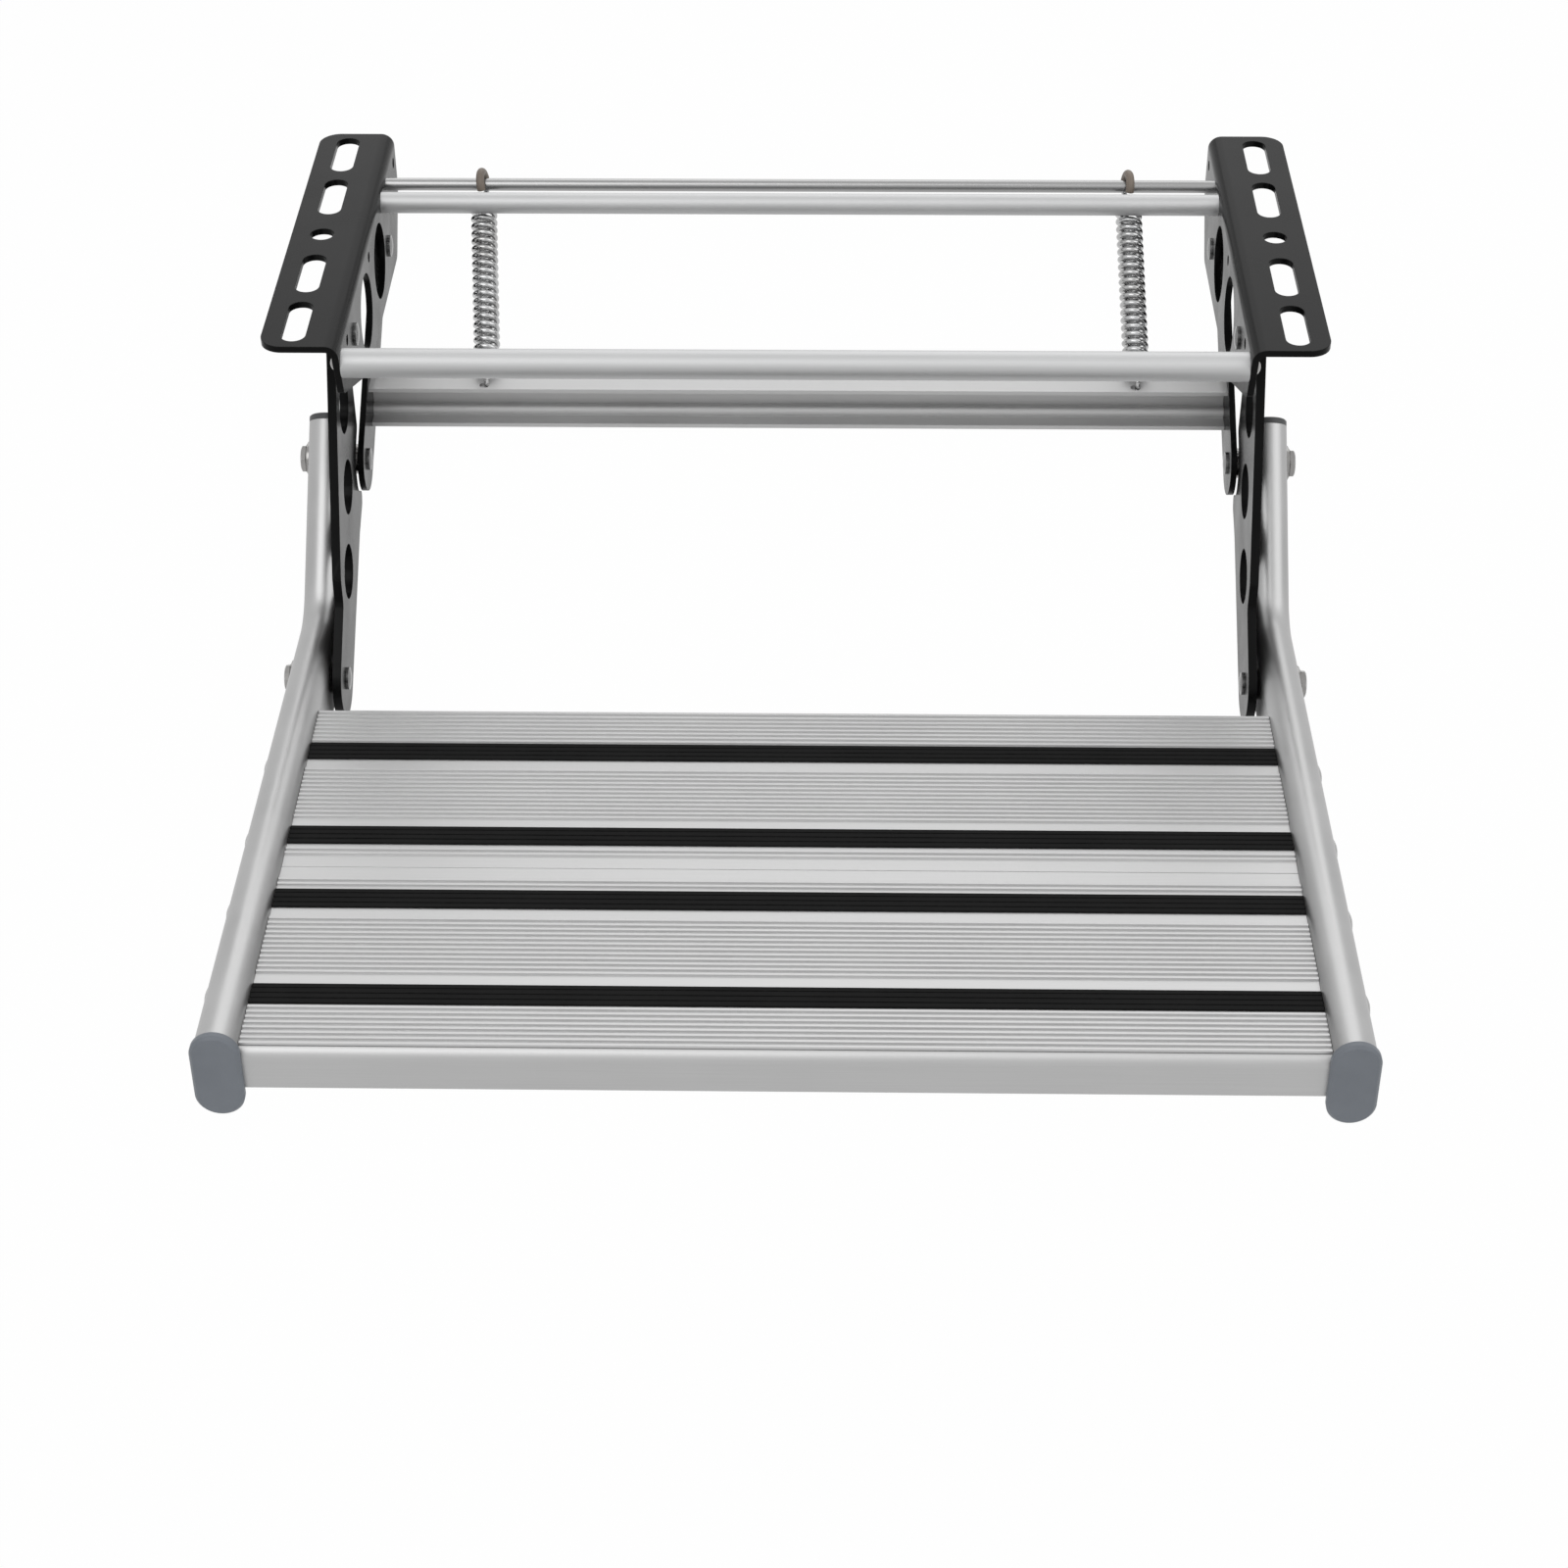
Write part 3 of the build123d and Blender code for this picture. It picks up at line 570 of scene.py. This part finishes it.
def headedPieces(name, node, ringsFor):
    # ringsFor gives a solid's rings from its length; distances count from the end nearer the middle
    shape = bmesh.new()
    for low, high in solidBoxes(node):
        outward = 1 if low.x > 0 else -1
        innerX = low.x if outward > 0 else high.x
        middle = (low + high) / 2
        spinRings(shape, ringsFor(high.x - low.x), Vector((innerX, middle.y, middle.z)), outward)
    return addPiece(name, finishMesh(name, shape), node)


pinSizes = {
    "headRadius": 0.0052,
    "headHeight": 0.002,
    "headEdge": 0.0012,
    "shankRadius": 0.005,
    "footHeight": 0.0013,
    "footBevel": (0.0004, 0.0005),  # across and along
    "frontFootRadius": 0.008,
    "rearFootRadius": 0.0065,
}
barScrewSizes = {"headRadius": 0.0034, "headHeight": 0.0022, "headEdge": 0.0005, "shankRadius": 0.002}
plankScrewSizes = {
    "headRadius": 0.0065,
    "headHeight": 0.0026,
    "headEdge": 0.0006,
    "shankRadius": 0.0025,
    "socketFlat": 0.002,
    "socketDepth": 0.0016,
    "socketPoint": 0.0004,
    "rimShare": 1.3,  # of the socket's half width
}
boltSizes = {
    "flat": 0.006,
    "headHeight": 0.0036,
    "crownRadius": 0.0056,
    "flangeRadius": 0.0081,
    "flangeEdge": 0.0004,
    "flangeHeight": 0.0013,
    "crownSlope": 0.6,
    "crownDish": 0.0001,
    "shankRadius": 0.004,
    "endBevel": 0.0005,
    "rivetHeight": 0.002,
    "rivetSlack": 0.0001,
}


def innerDome(sizes):
    # dome that faces the middle of the step, from its top out to its seat
    dome = domeRings(sizes["headRadius"], sizes["headHeight"], sizes["headEdge"])
    return [(radius, sizes["headHeight"] - distance) for radius, distance in reversed(dome)]


def rivetRings(footRadius=0.0):
    # a pin with a domed head and, where it has a radius, a flat foot
    sizes = pinSizes

    def rings(length):
        seat = sizes["headHeight"]
        shank = sizes["shankRadius"]
        head = innerDome(sizes) + [(sizes["headRadius"], seat), (shank, seat)]
        if not footRadius:
            return head + [(shank, length), (0.0, length)]
        foot = length - sizes["footHeight"]
        across, along = sizes["footBevel"]
        side = [(shank, foot), (footRadius, foot), (footRadius, length - along)]
        return head + side + [(footRadius - across, length), (0.0, length)]

    return rings


def barScrewRings(length):
    sizes = barScrewSizes
    seat = length - sizes["headHeight"]
    shank = sizes["shankRadius"]
    dome = domeRings(sizes["headRadius"], sizes["headHeight"], sizes["headEdge"])
    head = [(radius, seat + distance) for radius, distance in dome]
    return [(0.0, 0.0), (shank, 0.0), (shank, seat), (sizes["headRadius"], seat)] + head


def plankScrewRings(length):
    sizes = plankScrewSizes
    seat = length - sizes["headHeight"]
    dome = domeRings(sizes["headRadius"], sizes["headHeight"], sizes["headEdge"])
    rim = sizes["socketFlat"] * sizes["rimShare"]
    floorDistance = length - sizes["socketDepth"]
    head = [(radius, seat + distance) for radius, distance in dome if radius > rim]
    top = head[-1][1]

    def mouth(angle):
        return hexRadius(sizes["socketFlat"], angle), top

    def floor(angle):
        return hexRadius(sizes["socketFlat"], angle), floorDistance

    shank = sizes["shankRadius"]
    start = [(0.0, 0.0), (shank, 0.0), (shank, seat), (sizes["headRadius"], seat)]
    return start + head + [(rim, top), mouth, floor, (0.0, floorDistance - sizes["socketPoint"])]


def hexHeadRings(seat, length):
    # hexagon on a coned flange, its corners cut by a cone at the outer end
    flat = boltSizes["flat"]
    crown = boltSizes["crownRadius"]
    rim = boltSizes["flangeRadius"]

    def foot(angle):
        return hexRadius(flat, angle), seat + boltSizes["flangeHeight"]

    def side(angle):
        radius = hexRadius(flat, angle)
        return radius, length - (radius - crown) * boltSizes["crownSlope"]

    flange = [(rim, seat), (rim, seat + boltSizes["flangeEdge"])]
    return flange + [foot, side, (crown, length), (0.0, length - boltSizes["crownDish"])]


def rearBoltRings(length):
    seat = length - boltSizes["headHeight"]
    shank = boltSizes["shankRadius"]
    bevel = boltSizes["endBevel"]
    start = [(0.0, 0.0), (shank - bevel, 0.0), (shank, bevel), (shank, seat)]
    return start + hexHeadRings(seat, length)


def frontBoltRings(length):
    seat = length - boltSizes["headHeight"]
    shank = boltSizes["shankRadius"]
    edge = boltSizes["rivetHeight"]
    rivet = innerDome(pinSizes) + [(pinSizes["headRadius"], edge), (shank, edge)]
    return rivet + [(shank, seat)] + hexHeadRings(seat, length)


def shadeRivetEnds(piece, node):
    # the faces of the riveted ends get the pins' finish, whose dark grey is painted shade on the stainless bolt
    piece.data.materials.append(finishes["pin_steel"])
    ends = [low.x if low.x > 0 else high.x for low, high in solidBoxes(node)]
    reach = boltSizes["rivetHeight"] + boltSizes["rivetSlack"]
    for face in piece.data.polygons:
        if min(abs(face.center.x - end) for end in ends) < reach:
            face.material_index = 1


headedPieces("frontArmRivets", "front_arm_pins", rivetRings(pinSizes["frontFootRadius"]))
headedPieces("rearArmRivets", "rear_arm_pins", rivetRings(pinSizes["rearFootRadius"]))
headedPieces("rearArmStudHeads", "rear_arm_studs", rivetRings())
headedPieces("crossBarScrewHeads", "cross_bar_screws", barScrewRings)
headedPieces("plankSocketScrews", "plank_screws", plankScrewRings)
frontBolts = headedPieces("frontPivotHexBolts", "front_pivot_bolts", frontBoltRings)
shadeRivetEnds(frontBolts, "front_pivot_bolts")
headedPieces("rearPivotHexBolts", "rear_pivot_bolts", rearBoltRings)
print("fasteners built")


# springs and the sleeves on their hooks

springSizes = {
    "wire": 0.0027,
    "coilRadius": 0.00505,
    "pitch": 0.0039,
    "turns": 20.5,
    "upperHook": 0.006,  # radius
    "hookTurn": {"left": 9, "right": -9},  # degrees of the upper hook about the spring's line
    "lowerHook": 0.0042,  # radius
    "upperEnd": 270,  # degrees round its own middle, where the upper hook leaves for the coil
    "lowerStart": 90,  # and where the lower hook takes over from it
    "wrap": 40,  # degrees that the upper hook ends ahead of the rod's top
    "reach": 25,  # degrees that the lower hook goes on past its end
    "hookCentre": (-0.078593, -0.062691),  # middle of the lower hook, along Y and Z from the rod
    # shift along X of the upper and the lower end
    "lean": {"left": (-0.0043, 0.001), "right": (-0.002, 0.001)},
    "stepsPerTurn": 28,
    "leadShares": (0.3, 0.6, 0.8, 0.92),  # points between the upper hook and the coil
    "tailShares": (0.2, 0.5, 0.8),  # points between the coil and the lower hook
    "wireSides": 12,
    "sharpAngle": 60,
    "sleeveOuter": 0.002,
    "sleeveBore": 0.0014,
    "sleeveSides": 24,
    "foldedShare": 0.898,  # length when the step is folded, as a share of that at rest
}


def jointPoint(name):
    return Vector(next(joint["pos_m"] for joint in frame["joints"] if joint["name"] == name))


def arcPoints(centre, radius, fromDegrees, toDegrees, stepDegrees=9):
    sweep = toDegrees - fromDegrees
    count = max(2, round(abs(sweep) / stepDegrees))
    angles = [math.radians(fromDegrees + sweep * i / count) for i in range(count + 1)]
    return [Vector((centre + radius * math.cos(a), radius * math.sin(a), 0.0)) for a in angles]


def easeCorners(points, corners, reach=2, passes=3):
    # points beside a sharp corner are drawn in, so that the wire bends there instead of kinking
    eased = [point.copy() for point in points]
    for corner in corners:
        for turn in range(passes):
            for i in range(corner - reach, corner + reach + 1):
                eased[i] = (eased[i - 1] + eased[i] * 2 + eased[i + 1]) / 4
    return eased


def tubeAlong(shape, points, radius, bore, count):
    # round wire or sleeve along points, its rings carried along without twist
    side = None
    rings = []
    for i, point in enumerate(points):
        ahead = (points[min(i + 1, len(points) - 1)] - points[max(i - 1, 0)]).normalized()
        side = ahead.orthogonal() if side is None else side - ahead * side.dot(ahead)
        side.normalize()
        other = ahead.cross(side)
        angles = [2 * math.pi * k / count for k in range(count)]
        spokes = [side * math.cos(a) + other * math.sin(a) for a in angles]
        sizes = (radius, bore) if bore else (radius,)
        rings.append([[shape.verts.new(point + spoke * size) for spoke in spokes] for size in sizes])
    for last, now in zip(rings, rings[1:]):
        for old, new in zip(last, now):
            bridge(shape, old, new)
    for end in (rings[0], rings[-1]):
        if bore:
            bridge(shape, end[0], end[1])
        else:
            shape.faces.new(end[0])


rodMiddle = jointPoint("spring_swing")
springLine = Vector((0, *springSizes["hookCentre"]))
springLength = springLine.length + springSizes["lowerHook"]


def springRoutes(side):
    # the wire's line in the spring's own axes: down its length, above it, aside
    sizes = springSizes
    upper, lower = sizes["upperHook"], sizes["lowerHook"]
    coilLength = sizes["pitch"] * sizes["turns"]
    coilStart = (springLength - lower + upper - coilLength) / 2
    twist = Matrix.Rotation(math.radians(sizes["hookTurn"][side]), 3, "X")
    hook = [twist @ point for point in arcPoints(0.0, upper, sizes["wrap"], sizes["upperEnd"])]
    coil = []
    for i in range(round(sizes["turns"] * sizes["stepsPerTurn"]) + 1):
        turn = i / sizes["stepsPerTurn"]
        angle = 2 * math.pi * turn
        across = (-sizes["coilRadius"] * math.cos(angle), sizes["coilRadius"] * math.sin(angle))
        coil.append(Vector((coilStart + sizes["pitch"] * turn, *across)))
    low = arcPoints(springLength - lower, lower, sizes["lowerStart"], -sizes["reach"])
    lead = [hook[-1].lerp(coil[0], share) for share in sizes["leadShares"]]
    tail = [coil[-1].lerp(low[0], share) for share in sizes["tailShares"]]
    wire = hook + lead + coil + tail + low
    corners = (len(hook) + len(lead), len(hook) + len(lead) + len(coil) - 1)
    return easeCorners(wire, corners), hook


def springMatrix(x, side):
    upperShift, lowerShift = springSizes["lean"][side]
    down = (springLine + Vector((lowerShift - upperShift, 0, 0))).normalized()
    above = Vector((-1, 0, 0)).cross(down).normalized()
    axes = Matrix((down, above, down.cross(above))).transposed().to_4x4()
    return Matrix.Translation((x + upperShift, rodMiddle.y, rodMiddle.z)) @ axes


springXs = {side: middleOf(f"spring_{side}").x for side in ("left", "right")}
for side, x in springXs.items():
    wireRoute = [springMatrix(x, side) @ point for point in springRoutes(side)[0]]
    shape = bmesh.new()
    tubeAlong(shape, wireRoute, springSizes["wire"] / 2, 0.0, springSizes["wireSides"])
    springName = f"{side}TensionSpring"
    springMesh = finishMesh(springName, shape, springSizes["sharpAngle"])
    spring = addPiece(springName, springMesh, f"spring_{side}")
    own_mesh(spring)

shape = bmesh.new()
for side, x in springXs.items():
    route = [springMatrix(x, side) @ point for point in springRoutes(side)[1]]
    outer = springSizes["sleeveOuter"]
    tubeAlong(shape, route, outer, springSizes["sleeveBore"], springSizes["sleeveSides"])
addPiece("springHookSleeves", finishMesh("springHookSleeves", shape), "spring_hook_sleeves")
print("springs built,", len(wireRoute), "points a wire")


# floor, world and lamps

white = (1.0, 1.0, 1.0, 1.0)
studio = {
    "floorDrop": 0.7,  # the floor's depth below the lowest piece
    "floorReach": 12.0,
    "floorTone": 0.97,
    "floorRoughness": 0.9,
    "floorGlow": 0.96,  # share of plain white that the camera sees in the floor
    "ambient": 0.58,
    "lampAim": (0.0, -0.1, -0.1),
    "lamps": {
        # place, size, power
        "keyLamp": ((-1.1, -2.0, 2.5), 2.2, 26.0),
        "fillLamp": ((2.4, -1.0, 2.0), 2.4, 20.0),
        "backLamp": ((0.2, 2.6, 2.2), 2.8, 24.0),
    },
}


def seenDirectly(tree):
    # 1 where the camera looks, straight or by way of a reflection
    rays = addNode(tree, "ShaderNodeLightPath").outputs
    seen = mathNode(tree, "MAXIMUM", rays["Is Camera Ray"], rays["Is Glossy Ray"])
    return mathNode(tree, "MAXIMUM", seen, rays["Is Transmission Ray"])


def buildFloor():
    low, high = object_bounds()
    mesh = bpy.data.meshes.new("floor")
    reach = studio["floorReach"]
    z = low[2] - studio["floorDrop"]
    corners = [(-reach, -reach, z), (reach, -reach, z), (reach, reach, z), (-reach, reach, z)]
    mesh.from_pydata(corners, [], [(0, 1, 2, 3)])
    floor = bpy.data.objects.new("floor", mesh)
    bpy.context.scene.collection.objects.link(floor)
    material = bpy.data.materials.new("paleFloor")
    material.use_nodes = True
    tree = material.node_tree
    tone = studio["floorTone"]
    lit = tree.nodes["Principled BSDF"]
    litValues = {"Base Color": (tone, tone, tone, 1.0), "Roughness": studio["floorRoughness"]}
    setInputs(lit, {**litValues, "Specular IOR Level": 0.0})
    glow = addNode(tree, "ShaderNodeEmission", {"Color": white, "Strength": 1.0})
    mixed = addNode(tree, "ShaderNodeMixShader")
    share = rangeNode(tree, seenDirectly(tree), 0.0, 1.0, 0.0, studio["floorGlow"])
    feed(tree, share, mixed.inputs[0])
    feed(tree, lit.outputs[0], mixed.inputs[1])
    feed(tree, glow.outputs[0], mixed.inputs[2])
    feed(tree, mixed.outputs[0], tree.nodes["Material Output"].inputs["Surface"])
    mesh.materials.append(material)


def buildWorld():
    world = bpy.data.worlds.new("studio")
    bpy.context.scene.world = world
    world.use_nodes = True
    tree = world.node_tree
    background = tree.nodes["Background"]
    setInputs(background, {"Color": white})
    strength = rangeNode(tree, seenDirectly(tree), 0.0, 1.0, studio["ambient"], 1.0)
    feed(tree, strength, background.inputs["Strength"])


def addLamp(name, place, size, power):
    data = bpy.data.lights.new(name, "AREA")
    data.size = size
    data.energy = power
    lamp = bpy.data.objects.new(name, data)
    bpy.context.scene.collection.objects.link(lamp)
    lamp.location = place
    aim = Vector(studio["lampAim"]) - Vector(place)
    lamp.rotation_euler = aim.to_track_quat("-Z", "Y").to_euler()


buildFloor()
buildWorld()
for lampName, (place, size, power) in studio["lamps"].items():
    addLamp(lampName, place, size, power)
print("floor, world and lamps placed")

bpy.context.view_layer.update()
